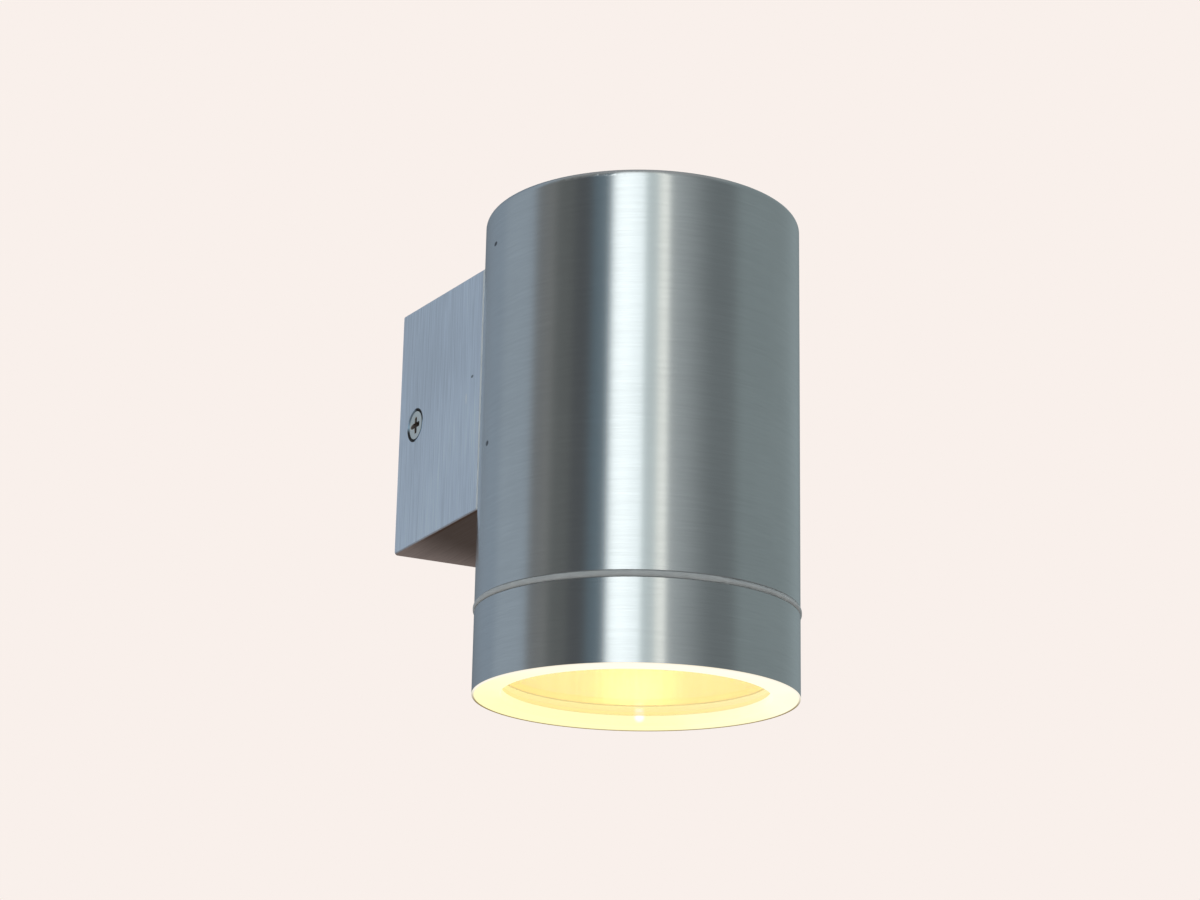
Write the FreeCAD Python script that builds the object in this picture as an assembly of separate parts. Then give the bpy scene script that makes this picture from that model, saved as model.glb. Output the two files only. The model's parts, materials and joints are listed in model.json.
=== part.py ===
import FreeCAD, Part
import math
import os

# Tube wall light: an upright round tube with a screw-off lower ring that holds the glass,
# carried on a square hollow bracket box that is screwed sideways to a small wall plate.
# Millimetres.  The wall is the plane Y = 0, the light stands out towards -Y, +Z is up and
# the origin is on the wall behind the middle of the bracket box.

V = FreeCAD.Vector

same_length = 1e-4           # lengths that differ by less are the same
cut_past = 1.0               # how far a cut runs past the faces that it opens

# ---------------------------------------------------------------- tube, cap, ring and seam
# The tube is 60 mm across: the 50 mm lamp, the ring's spigot and thread, and its own wall.
tube_wall = 2.0
light_length = 92.15         # ring mouth to closed top
top_above_centre = 31.2      # closed top above the middle of the bracket box
tube_to_wall = 24.0          # back of the tube to the wall
tube_top_round = 1.5
cap_thickness = 3.0
cap_fit = 0.05               # radial
ring_height = 15.47          # what shows below the seam
seam_height = 1.13
seam_proud = 0.25            # how far the seam gasket swells out of the joint
seam_round = 0.4
edge_round = 0.15            # outer edges of the ring and the tube's lower end

# ---------------------------------------------------------------- screw thread of the ring
spigot_wall = 1.0
spigot_length = 7.6          # ring shoulder to spigot top
thread_depth = 0.9
thread_pitch = 1.5
thread_root_width = 0.95
thread_crest_width = 0.3
thread_sink = 0.1            # how deep a ridge is rooted in its wall
thread_gap = 0.1             # crest to the wall it faces
thread_turns = 3.2
thread_lead_in = 0.7         # tube end to the first turn, and seam gasket to the first turn

# ---------------------------------------------------------------- glass and its gasket
mouth_wall = 0.35            # metal left at the ring's mouth
mouth_lip = 0.5              # height of the lip that keeps the gasket in
pocket_undercut = 0.1
gasket_recess = 0.1          # gasket face above the ring's mouth
gasket_fit = 0.05
gasket_side = 2.65           # silicone between the glass and the ring
gasket_hold = 2.3            # how far the flanges reach over the glass
gasket_lower_flange = 1.9
gasket_upper_flange = 1.3
gasket_round = 0.6
glass_thickness = 4.0
glass_bevel = 0.4
glass_fit = 0.05

# ---------------------------------------------------------------- reflector lamp, 50 mm, twist base
lamp_d = 50.0
lamp_side_gap = 1.0          # lamp to the ring's spigot
lamp_rim_height = 4.5
lamp_rim_wall = 1.6
lamp_body_length = 46.5      # front to the base's shoulder
lamp_neck_d = 27.0
lamp_neck_height = 31.0      # front to where the shell ends on the base
lamp_shell_wall = 1.4
lamp_shell_fullness = 0.9    # below 1 the shell's side bulges less before it draws in
lamp_shell_steps = 6
lamp_base_d = 24.0
lamp_base_taper = 6.75       # height of the cone from the neck down to the base
lamp_cover_thickness = 2.0
lamp_cover_inset = 0.6
reflector_depth = 13.0
reflector_small_d = 15.0
reflector_wall = 0.8
reflector_bow = 0.62         # half way up, this share of the way from its small end to its wide end
led_board_thickness = 1.6
led_dome_r = 3.2
lamp_fit = 0.1
pin_spacing = 10.0
pin_shank_d = 3.0
pin_head_d = 5.0
pin_head_height = 2.6
pin_root = 5.0               # how deep the pins are set in the base

# ---------------------------------------------------------------- lampholder and its bracket
holder_d = 26.0
holder_height = 13.0
holder_running_gap = 0.3     # lamp shoulder to holder
holder_floor = 4.2           # thickness that the pin shanks pass
slot_side_gap = 0.2
key_side_gap = 0.3
head_gap = 0.1               # pin head above the holder's floor
cavity_side_gap = 0.6
contact_gap = 0.3
contact_thickness = 1.0
contact_length = 5.0
contact_width = 3.6
contact_stem_d = 2.6
contact_stem_rise = 1.5      # above the bracket
twist_angle = 30.0
holder_screw_spacing = 19.0
m3_d = 3.0
m3_clearance_d = 3.4
m3_head_d = 5.6
m3_head_height = 2.0
m3_nut_across = 5.5
m3_nut_height = 2.4
screw_fit = 0.05             # radial, screw to its nut or tapped hole
head_round_share = 0.45      # pan heads: rounding of the rim, by the head's height
head_recess_share = 0.55     # pan heads: width of the recess, by the head's width
bracket_thickness = 1.5
bracket_width = 16.0
bracket_below_screw = 6.0    # leg's end below the lower tube screw
bracket_fit = 0.08           # leg to the tube's bore
bracket_arm_past_holder = 1.0
bracket_under_cap = 10.8     # room over the bracket's arm for the leads
lead_window_width = 9.0      # opening in the arm that the two leads climb through
lead_window_depth = 4.6
stem_window_d = 13.5

# ---------------------------------------------------------------- bracket box
box_width = 50.7             # at the wall
box_height = 50.5            # at the wall
box_draft = 0.025            # narrowing of each side per millimetre away from the wall
box_wall = 2.5
box_corner_round = 0.7
box_front_land = 0.3         # blunt front edge of each side, short of a sharp edge
saddle_fit = 0.15            # box to tube
saddle_wall = 2.5
pad_width = 13.0
pad_proud = 0.5              # flat seat for the tube screws, past the saddle wall
pad_margin = 6.0
side_screw_from_wall = 7.05
countersink_d = 6.5
countersink_lead = 0.3       # the cone starts this far outside the drafted side
side_screw_head_d = 5.7
side_screw_sunk = 0.12
side_screw_length = 6.0
recess_d = 3.5
recess_slot = 1.05
recess_depth = 1.5
recess_tip_d = 0.9

# ---------------------------------------------------------------- screws that hold the tube
tube_screw_spacing = 24.0
clinch_nut_under_arm = 0.2   # upper clinch nut to the bracket's arm
m4_d = 4.0
m4_clearance_d = 4.4
m4_head_d = 7.8
m4_head_height = 2.5
m4_washer_d = 9.0
m4_washer_thickness = 0.8
m4_washer_fit = 0.15         # radial
m4_length = 11.5
clinch_nut_d = 7.4
clinch_nut_height = 3.0
clinch_nut_fit = 0.03
wire_hole_below_screw = 10.0 # from the upper screw down to the wire hole
grommet_d = 8.0
grommet_bore_d = 5.0
grommet_flange_d = 10.6
grommet_flange = 1.2
grommet_past_bracket = 1.2
grommet_fit = 0.05

# ---------------------------------------------------------------- wall plate and seal
seal_thickness = 1.0
plate_thickness = 1.5
plate_side_gap = 0.3
flange_half_width = 7.0
flange_depth = 9.5           # flange tip from the plate's face
flange_gap = 0.15            # flange to the box's inner side
collar_d = 5.4
collar_length = 1.2
wall_slot_spacing = 28.0
wall_slot_width = 4.6
wall_slot_length = 9.0
cable_hole_z = 11.5
cable_bore_d = 7.0
cable_grommet_neck = 1.5
cable_grommet_flange_d = 14.0
cable_grommet_flange = 1.2

# ---------------------------------------------------------------- terminal block
pole_count = 3
pole_pitch = 8.0
block_top_z = -5.0
block_length = 10.0          # along the wires
block_depth = 11.0
block_end_wall = 0.6
clamp_width = 4.4
clamp_depth = 5.0
clamp_fit = 0.05
clamp_from_plate = 1.5
clamp_bore_d = 2.4
wire_entry_d = 3.0
clamp_screw_d = 2.2
clamp_screw_length = 4.2
clamp_screw_spacing = 4.6
driver_slot = 0.5
driver_slot_depth = 0.6
block_screw_head_d = 4.6
block_screw_head_height = 1.6
block_screw_hole_d = 3.2

# ---------------------------------------------------------------- wires and the earth point
lead_d = 1.6
lead_in_clamp = 3.0
lead_spread = 2.6            # the two leads side by side in the grommet
lead_spread_above = 4.7      # and over the lampholder's bracket
lead_turn_drop = 2.0         # corner below the grommet's level
lead_turn_out = 4.0          # corner short of the grommet's flange
lead_from_holder = 4.0       # the leads' climb inside the tube, beside the lampholder
lead_under_cap = 2.2         # the leads' highest centre line
lead_bend_share = 0.45
earth_from_side = 7.35       # earth screw to the box's inner side at the wall
earth_z = 13.0
earth_boss_d = 8.4
earth_boss_y = -18.0
earth_lug_d = 7.6
earth_lug_thickness = 0.8
earth_barrel_d = 3.0
earth_barrel_length = 5.0    # from the tongue's edge to the barrel's open end
earth_barrel_gap = 0.5       # tongue's edge to the barrel
earth_barrel_bore = 2.5      # how deep the wire's bore is
earth_neck_width = 2.0
earth_neck_overlap = 1.5     # how far the neck runs along the barrel
earth_wire_in_barrel = 1.5
earth_wire_rise = 4.5        # block's top to the wire's first corner
earth_wire_second_rise = 4.8
earth_screw_length = 6.0
earth_screw_head_d = 7.0

# ---------------------------------------------------------------- worked out from the above
spigot_bore_r = lamp_d / 2 + lamp_side_gap
spigot_r = spigot_bore_r + spigot_wall
bore_r = spigot_r + thread_depth + thread_gap
tube_r = bore_r + tube_wall
axis_to_wall = tube_r + tube_to_wall
ring_bottom_z = top_above_centre - light_length
ring_top_z = ring_bottom_z + ring_height
tube_bottom_z = ring_top_z + seam_height
spigot_top_z = ring_top_z + spigot_length
mouth_r = tube_r - mouth_wall
pocket_r = mouth_r + pocket_undercut
glass_r = pocket_r - gasket_fit - gasket_side - glass_fit
aperture_r = glass_r - gasket_hold
glass_bottom_z = ring_bottom_z + gasket_recess + gasket_lower_flange
glass_top_z = glass_bottom_z + glass_thickness
pocket_top_z = glass_top_z + gasket_upper_flange
cap_bottom_z = top_above_centre - cap_thickness
arm_top_z = cap_bottom_z - bracket_under_cap
holder_top_z = arm_top_z - bracket_thickness
holder_bottom_z = holder_top_z - holder_height
lamp_shoulder_z = holder_bottom_z - holder_running_gap
lamp_front_z = lamp_shoulder_z - lamp_body_length
upper_screw_z = holder_top_z - clinch_nut_under_arm - clinch_nut_d / 2
lower_screw_z = upper_screw_z - tube_screw_spacing
wire_hole_z = upper_screw_z - wire_hole_below_screw
pin_head_z = holder_bottom_z + holder_floor + head_gap
pin_top_z = pin_head_z + pin_head_height
contact_z = pin_top_z + contact_gap
cavity_top_z = contact_z + contact_thickness
saddle_r = tube_r + saddle_fit
pad_y = saddle_r + saddle_wall + pad_proud - axis_to_wall
saddle_inner_r = saddle_r + saddle_wall
leg_outer_r = bore_r - bracket_fit
leg_inner_r = leg_outer_r - bracket_thickness
leg_inner_y = leg_inner_r - axis_to_wall
lead_drop_y = holder_d / 2 + lead_from_holder - axis_to_wall
lead_crown_z = cap_bottom_z - lead_under_cap
plate_back_y = -seal_thickness
plate_face_y = plate_back_y - plate_thickness
box_inner_half_width = box_width / 2 - box_wall
box_inner_half_height = box_height / 2 - box_wall
flange_tip_y = plate_face_y - flange_depth
earth_x = box_inner_half_width - earth_from_side
flange_x = box_inner_half_width + box_draft * flange_tip_y - flange_gap
plate_half_width = flange_x
plate_half_height = box_inner_half_height - plate_side_gap
screw_side_x = box_width / 2 - box_draft * side_screw_from_wall
clamp_y = plate_face_y - clamp_from_plate - clamp_depth / 2
block_bottom_z = block_top_z - block_length
block_width = pole_count * pole_pitch

os.makedirs("parts", exist_ok=True)


def save(name, made):
    """One node: one solid, or a list of separate identical ones."""
    shape = Part.makeCompound(made) if isinstance(made, list) else made
    shape.exportStep("parts/" + name + ".step")


def one_solid(shape):
    """The single solid inside a boolean's result."""
    return shape.removeSplitter().Solids[0]


def turned(profile):
    """A solid turned about the tube's axis from (radius, height) corners."""
    corners = [V(r, 0, z) for r, z in profile]
    face = Part.Face(Part.makePolygon(corners + [corners[0]]))
    solid = face.revolve(V(0, 0, 0), V(0, 0, 1), 360)
    solid.translate(V(0, -axis_to_wall, 0))
    return solid


def upright(radius, bottom, top, x=0.0, y=-axis_to_wall):
    """A vertical cylinder, on the tube's axis unless told otherwise."""
    return Part.makeCylinder(radius, top - bottom, V(x, y, bottom))


def along_y(radius, near, far, x, z):
    """A cylinder from y = near (towards the wall) out to y = far."""
    return Part.makeCylinder(radius, near - far, V(x, near, z), V(0, -1, 0))


def block(x0, x1, y0, y1, z0, z1):
    return Part.makeBox(x1 - x0, y1 - y0, z1 - z0, V(x0, y0, z0))


def edges_on_circle(solid, radius, height):
    """The round edges about the tube's axis with this radius and height."""
    found = []
    for edge in solid.Edges:
        curve = edge.Curve
        if isinstance(curve, Part.Circle) and abs(curve.Radius - radius) < same_length:
            if abs(curve.Center.z - height) < same_length:
                found.append(edge)
    return found


def hexagon(across, height, x, y, z):
    """A nut blank standing on z."""
    corner = across / 2 / math.cos(math.pi / 6)
    points = [V(x + corner * math.cos(i * math.pi / 3), y + corner * math.sin(i * math.pi / 3), z)
              for i in range(7)]
    return Part.Face(Part.makePolygon(points)).extrude(V(0, 0, height))


def cross_recess(outer_d):
    """A tapered cross recess: its mouth in the plane Z = 0, pointing down."""
    half = outer_d / 2
    slot = recess_slot / 2
    cross = block(-half, half, -slot, slot, -recess_depth, cut_past)
    cross = cross.fuse(block(-slot, slot, -half, half, -recess_depth, cut_past))
    taper = Part.makeCone(recess_tip_d / 2, half, recess_depth, V(0, 0, -recess_depth))
    taper = taper.fuse(Part.makeCylinder(half, cut_past))
    return cross.common(taper)


def aimed(shape, place, direction):
    """A shape built along +Z, turned to point along direction and moved to place."""
    turn = FreeCAD.Rotation(V(0, 0, 1), direction)
    moved = shape.copy()
    moved.Placement = FreeCAD.Placement(place, turn)
    return moved


def pan_screw(shank_d, length, head_d, head_height):
    """Head's underside in Z = 0, head above it, shank below; the head's rim is rounded."""
    head = Part.makeCylinder(head_d / 2, head_height)
    rim = [e for e in head.Edges if isinstance(e.Curve, Part.Circle) and e.Curve.Center.z > 0]
    head = head.makeFillet(head_height * head_round_share, rim)
    recess = cross_recess(head_d * head_recess_share)
    recess.translate(V(0, 0, head_height))
    shank = Part.makeCylinder(shank_d / 2, length, V(0, 0, -length))
    return one_solid(head.cut(recess).fuse(shank))


def thread_ridge(root_r, crest_r, first_z):
    """A helical ridge about the tube's axis, starting at angle 0 and height first_z."""
    length = thread_turns * thread_pitch
    helix = Part.makeHelix(thread_pitch, length, root_r)
    root = thread_root_width / 2
    crest = thread_crest_width / 2
    points = [V(root_r, 0, -root), V(crest_r, 0, -crest), V(crest_r, 0, crest), V(root_r, 0, root)]
    profile = Part.makePolygon(points + [points[0]])
    ridge = Part.Wire(helix.Edges).makePipeShell([profile], True, True)
    ridge.translate(V(0, -axis_to_wall, first_z))
    return ridge


def male_first_z():
    return tube_bottom_z + thread_lead_in + thread_root_width / 2


# ---------------------------------------------------------------- the tube and its lower ring

def tube_body():
    shell = upright(tube_r, tube_bottom_z, top_above_centre)
    shell = shell.makeFillet(tube_top_round, edges_on_circle(shell, tube_r, top_above_centre))
    shell = shell.makeFillet(edge_round, edges_on_circle(shell, tube_r, tube_bottom_z))
    shell = shell.cut(upright(bore_r, tube_bottom_z - cut_past, top_above_centre + cut_past))
    for z in (lower_screw_z, upper_screw_z):
        shell = shell.cut(along_y(m4_clearance_d / 2, pad_y, leg_inner_y, 0, z))
    shell = shell.cut(along_y(grommet_d / 2 + grommet_fit, pad_y, leg_inner_y, 0, wire_hole_z))
    ridge = thread_ridge(bore_r + thread_sink, bore_r - thread_depth, male_first_z() + thread_pitch / 2)
    return one_solid(shell.fuse(ridge))


def top_cap():
    return upright(bore_r - cap_fit, cap_bottom_z, top_above_centre)


def bezel_ring():
    ring = turned([
        (mouth_r, ring_bottom_z),
        (tube_r, ring_bottom_z),
        (tube_r, ring_top_z),
        (spigot_r, ring_top_z),
        (spigot_r, spigot_top_z),
        (spigot_bore_r, spigot_top_z),
        (spigot_bore_r, pocket_top_z),
        (pocket_r, pocket_top_z),
        (pocket_r, ring_bottom_z + mouth_lip),
        (mouth_r, ring_bottom_z + mouth_lip),
    ])
    outer = edges_on_circle(ring, tube_r, ring_bottom_z) + edges_on_circle(ring, tube_r, ring_top_z)
    ring = ring.makeFillet(edge_round, outer)
    ridge = thread_ridge(spigot_r - thread_sink, spigot_r + thread_depth, male_first_z())
    return one_solid(ring.fuse(ridge))


def ring_gasket():
    inner = spigot_r + thread_gap
    outer = tube_r + seam_proud
    seal = turned([
        (inner, ring_top_z), (outer, ring_top_z), (outer, tube_bottom_z), (inner, tube_bottom_z),
    ])
    rims = edges_on_circle(seal, outer, ring_top_z) + edges_on_circle(seal, outer, tube_bottom_z)
    return seal.makeFillet(seam_round, rims)


def lens_gasket():
    face_z = ring_bottom_z + gasket_recess
    lip_top_z = ring_bottom_z + mouth_lip
    seat_r = glass_r + glass_fit
    gasket = turned([
        (aperture_r, face_z),
        (mouth_r - gasket_fit, face_z),
        (mouth_r - gasket_fit, lip_top_z),
        (pocket_r - gasket_fit, lip_top_z),
        (pocket_r - gasket_fit, pocket_top_z),
        (aperture_r, pocket_top_z),
        (aperture_r, glass_top_z),
        (seat_r, glass_top_z),
        (seat_r, glass_bottom_z),
        (aperture_r, glass_bottom_z),
    ])
    return gasket.makeFillet(gasket_round, edges_on_circle(gasket, aperture_r, face_z))


def glass_lens():
    glass = upright(glass_r, glass_bottom_z, glass_top_z)
    rims = edges_on_circle(glass, glass_r, glass_top_z) + edges_on_circle(glass, glass_r, glass_bottom_z)
    return glass.makeChamfer(glass_bevel, rims)


# ---------------------------------------------------------------- the lamp

def shell_radius(height):
    """Outer radius of the lamp's shell at a height above its front, past the rim."""
    share = (height - lamp_rim_height) / (lamp_neck_height - lamp_rim_height)
    wide = lamp_d / 2
    return wide + (lamp_neck_d / 2 - wide) * math.sin(share * math.pi / 2) ** lamp_shell_fullness


def lamp_shell():
    wide = lamp_d / 2
    step = (lamp_neck_height - lamp_rim_height) / lamp_shell_steps
    heights = [lamp_rim_height + i * step for i in range(lamp_shell_steps + 1)]
    outer = [(wide, lamp_front_z)] + [(shell_radius(h), lamp_front_z + h) for h in heights]
    inner = [(shell_radius(h) - lamp_shell_wall, lamp_front_z + h) for h in reversed(heights)]
    inner.append((wide - lamp_rim_wall, lamp_front_z))
    return turned(outer + inner)


def lamp_cover():
    bottom = lamp_front_z + lamp_cover_inset
    return upright(lamp_d / 2 - lamp_rim_wall - lamp_fit, bottom, bottom + lamp_cover_thickness)


def reflector_top_z():
    return lamp_front_z + lamp_cover_inset + lamp_cover_thickness + reflector_depth


def lamp_reflector():
    bottom = reflector_top_z() - reflector_depth
    wide = lamp_d / 2 - lamp_rim_wall - lamp_fit - reflector_wall
    small = reflector_small_d / 2
    middle = (small + (wide - small) * reflector_bow, bottom + reflector_depth / 2)
    return turned([
        (wide, bottom),
        (wide - reflector_wall, bottom),
        (middle[0] - reflector_wall, middle[1]),
        (small - reflector_wall, reflector_top_z()),
        (small, reflector_top_z()),
        middle,
    ])


def led_module():
    board_r = shell_radius(reflector_top_z() - lamp_front_z + led_board_thickness)
    board_r -= lamp_shell_wall + lamp_fit
    board = upright(board_r, reflector_top_z(), reflector_top_z() + led_board_thickness)
    dome = Part.makeSphere(led_dome_r, V(0, -axis_to_wall, reflector_top_z()), V(0, 0, 1), -90, 0)
    return one_solid(board.fuse(dome))


def lamp_base():
    plug_bottom = reflector_top_z() + led_board_thickness
    neck_z = lamp_front_z + lamp_neck_height
    plug_r = lamp_neck_d / 2 - lamp_shell_wall - lamp_fit
    base = turned([
        (0, plug_bottom),
        (plug_r, plug_bottom),
        (plug_r, neck_z),
        (lamp_neck_d / 2, neck_z),
        (lamp_base_d / 2, neck_z + lamp_base_taper),
        (lamp_base_d / 2, lamp_shoulder_z),
        (0, lamp_shoulder_z),
    ])
    for side in (-1, 1):
        base = base.cut(upright(pin_shank_d / 2, lamp_shoulder_z - pin_root, lamp_shoulder_z,
                                side * pin_spacing / 2))
    return base


def lamp_pins():
    pins = []
    for side in (-1, 1):
        x = side * pin_spacing / 2
        shank = upright(pin_shank_d / 2, lamp_shoulder_z - pin_root, pin_head_z, x)
        head = upright(pin_head_d / 2, pin_head_z, pin_top_z, x)
        pins.append(one_solid(shank.fuse(head)))
    return pins


# ---------------------------------------------------------------- lampholder and bracket

def arc_slot(half_width, bottom, top):
    """A round-ended slot from the pin at +X back through the twist angle."""
    middle = pin_spacing / 2
    height = top - bottom
    place = V(0, -axis_to_wall, bottom)
    band = Part.makeCylinder(middle + half_width, height, place, V(0, 0, 1), twist_angle)
    band = band.cut(Part.makeCylinder(middle - half_width, height, place))
    band.rotate(V(0, -axis_to_wall, 0), V(0, 0, 1), -twist_angle)
    locked = upright(half_width, bottom, top, middle)
    turn = math.radians(twist_angle)
    free = upright(half_width, bottom, top, middle * math.cos(turn),
                   -axis_to_wall - middle * math.sin(turn))
    return band.fuse(locked).fuse(free)


def keyhole():
    turn = math.radians(twist_angle)
    middle = pin_spacing / 2
    return upright(pin_head_d / 2 + key_side_gap, holder_bottom_z - cut_past, pin_head_z,
                   middle * math.cos(turn), -axis_to_wall - middle * math.sin(turn))


def half_turned(shape):
    copy = shape.copy()
    copy.rotate(V(0, -axis_to_wall, 0), V(0, 0, 1), 180)
    return copy


def holder_screw_places():
    return [-axis_to_wall - holder_screw_spacing / 2, -axis_to_wall + holder_screw_spacing / 2]


def lampholder():
    body = upright(holder_d / 2, holder_bottom_z, holder_top_z)
    below_z = holder_bottom_z - cut_past
    above_z = holder_top_z + cut_past
    slot = arc_slot(pin_shank_d / 2 + slot_side_gap, below_z, pin_head_z)
    cavity = arc_slot(pin_head_d / 2 + cavity_side_gap, holder_bottom_z + holder_floor, cavity_top_z)
    stem = upright(contact_stem_d / 2 + screw_fit, contact_z, above_z, pin_spacing / 2)
    for cut in (slot, cavity, keyhole(), stem):
        body = body.cut(cut)
        body = body.cut(half_turned(cut))
    for y in holder_screw_places():
        body = body.cut(upright(m3_clearance_d / 2, below_z, above_z, 0, y))
        head_top_z = holder_bottom_z + m3_head_height + head_gap
        body = body.cut(upright(m3_head_d / 2 + slot_side_gap, below_z, head_top_z, 0, y))
    return one_solid(body)


def holder_contacts():
    contacts = []
    for side in (-1, 1):
        x = side * pin_spacing / 2
        half_x = contact_width / 2
        half_y = contact_length / 2
        y = -axis_to_wall
        plate = block(x - half_x, x + half_x, y - half_y, y + half_y, contact_z, cavity_top_z)
        stem = upright(contact_stem_d / 2, cavity_top_z, arm_top_z + contact_stem_rise, x)
        slot = arc_slot(pin_head_d / 2 + cavity_side_gap, contact_z, cavity_top_z)
        room = slot if side > 0 else half_turned(slot)
        contacts.append(one_solid(plate.common(room).fuse(stem)))
    return contacts


def holder_screws():
    screws = []
    for y in holder_screw_places():
        length = holder_height - m3_head_height - head_gap + bracket_thickness + m3_nut_height
        screw = pan_screw(m3_d, length, m3_head_d, m3_head_height)
        seat = V(0, y, holder_bottom_z + m3_head_height + head_gap)
        screws.append(aimed(screw, seat, V(0, 0, -1)))
    return screws


def holder_nuts():
    nuts = []
    for y in holder_screw_places():
        nut = hexagon(m3_nut_across, m3_nut_height, 0, y, arm_top_z)
        nut_top_z = arm_top_z + m3_nut_height
        nuts.append(nut.cut(upright(m3_d / 2 + screw_fit, arm_top_z - cut_past, nut_top_z + cut_past, 0, y)))
    return nuts


def lampholder_bracket():
    half = bracket_width / 2
    foot_z = lower_screw_z - bracket_below_screw
    leg = turned([
        (leg_inner_r, foot_z), (leg_outer_r, foot_z),
        (leg_outer_r, arm_top_z), (leg_inner_r, arm_top_z),
    ])
    leg = leg.common(block(-half, half, -axis_to_wall, 0, foot_z, arm_top_z))
    arm_end_y = -axis_to_wall - holder_d / 2 - bracket_arm_past_holder
    arm = block(-half, half, arm_end_y, 0, holder_top_z, arm_top_z)
    arm = arm.common(upright(leg_outer_r, holder_top_z, arm_top_z))
    bracket = leg.fuse(arm)
    for z in (lower_screw_z, upper_screw_z):
        bracket = bracket.cut(along_y(m4_clearance_d / 2, pad_y, -axis_to_wall, 0, z))
    bracket = bracket.cut(along_y(grommet_d / 2 + grommet_fit, pad_y, -axis_to_wall, 0, wire_hole_z))
    below_z = holder_top_z - cut_past
    above_z = arm_top_z + cut_past
    for y in holder_screw_places():
        bracket = bracket.cut(upright(m3_clearance_d / 2, below_z, above_z, 0, y))
    bracket = bracket.cut(upright(stem_window_d / 2, below_z, above_z))
    half_width = lead_window_width / 2
    half_depth = lead_window_depth / 2
    window = block(-half_width, half_width, lead_drop_y - half_depth, lead_drop_y + half_depth,
                   below_z, above_z)
    return one_solid(bracket.cut(window))


def clinch_nuts():
    nuts = []
    for z in (lower_screw_z, upper_screw_z):
        nut = along_y(clinch_nut_d / 2, leg_inner_y, leg_inner_y - clinch_nut_height, 0, z)
        nut = nut.common(upright(leg_inner_r - clinch_nut_fit, z - clinch_nut_d, z + clinch_nut_d))
        nut = nut.cut(along_y(m4_d / 2 + screw_fit, 0, -axis_to_wall, 0, z))
        nuts.append(one_solid(nut))
    return nuts


def tube_screws():
    seat_y = pad_y + m4_washer_thickness
    screw = pan_screw(m4_d, m4_length, m4_head_d, m4_head_height)
    return [aimed(screw, V(0, seat_y, z), V(0, 1, 0)) for z in (lower_screw_z, upper_screw_z)]


def tube_screw_washers():
    washers = []
    for z in (lower_screw_z, upper_screw_z):
        top_y = pad_y + m4_washer_thickness
        disc = along_y(m4_washer_d / 2, top_y, pad_y, 0, z)
        hole = along_y(m4_d / 2 + m4_washer_fit, top_y + cut_past, pad_y - cut_past, 0, z)
        washers.append(disc.cut(hole))
    return washers


def wire_grommet():
    end_y = leg_inner_y - grommet_past_bracket
    face_y = pad_y + grommet_flange
    body = along_y(grommet_d / 2, face_y, end_y, 0, wire_hole_z)
    flange = along_y(grommet_flange_d / 2, face_y, pad_y, 0, wire_hole_z)
    bore = along_y(grommet_bore_d / 2, face_y + cut_past, end_y - cut_past, 0, wire_hole_z)
    return one_solid(body.fuse(flange).cut(bore))


# ---------------------------------------------------------------- bracket box

def drafted_prism(half_width, half_height, depth):
    """A block from the wall out to y = -depth whose sides lean in with the draft."""
    loops = []
    for y in (0.0, -depth):
        w = half_width + box_draft * y
        h = half_height + box_draft * y
        corners = [V(-w, y, -h), V(w, y, -h), V(w, y, h), V(-w, y, h)]
        loops.append(Part.makePolygon(corners + [corners[0]]))
    return Part.makeLoft(loops, True, True)


def lengthwise_edges(solid):
    """The four edges that run away from the wall."""
    return [e for e in solid.Edges
            if abs(e.Vertexes[0].Point.y - e.Vertexes[1].Point.y) > same_length]


def side_screw_hole(side):
    """Clearance hole and countersink through one side of the box."""
    y = -side_screw_from_wall
    inward = V(-side, 0, 0)
    hole = Part.makeCylinder(m3_clearance_d / 2, box_wall + 2 * cut_past,
                             V(side * (screw_side_x + cut_past), y, 0), inward)
    wide_r = countersink_d / 2 + countersink_lead
    cone = Part.makeCone(wide_r, m3_clearance_d / 2, wide_r - m3_clearance_d / 2,
                         V(side * (screw_side_x + countersink_lead), y, 0), inward)
    return hole.fuse(cone)


def box_side_depth():
    """How far the drafted sides reach from the wall before they meet the saddle."""
    half = box_width / 2
    a = 1 + box_draft ** 2
    b = axis_to_wall + box_draft * half
    c = axis_to_wall ** 2 + half ** 2 - saddle_r ** 2
    return (b - math.sqrt(b ** 2 - a * c)) / a


def bracket_box():
    outer = drafted_prism(box_width / 2, box_height / 2, box_side_depth() - box_front_land)
    outer = outer.makeFillet(box_corner_round, lengthwise_edges(outer))
    tall = box_height
    outer = outer.cut(upright(saddle_r, -tall, tall))
    inner = drafted_prism(box_inner_half_width, box_inner_half_height, axis_to_wall)
    inner = inner.cut(upright(saddle_inner_r, -tall, tall))
    half_width = pad_width / 2
    pad = block(-half_width, half_width, -axis_to_wall, pad_y,
                lower_screw_z - pad_margin, upper_screw_z + pad_margin)
    boss = along_y(earth_boss_d / 2, earth_boss_y, -axis_to_wall, earth_x, earth_z)
    inner = inner.cut(pad).cut(boss)
    box = outer.cut(inner)
    for side in (-1, 1):
        box = box.cut(side_screw_hole(side))
    for z in (lower_screw_z, upper_screw_z):
        box = box.cut(along_y(m4_clearance_d / 2, pad_y + cut_past, -axis_to_wall, 0, z))
    box = box.cut(along_y(grommet_d / 2 + grommet_fit, pad_y + cut_past, -axis_to_wall, 0, wire_hole_z))
    tapped = along_y(m4_d / 2 + screw_fit, earth_boss_y + cut_past, earth_boss_y - earth_screw_length,
                     earth_x, earth_z)
    return one_solid(box.cut(tapped))


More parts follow.
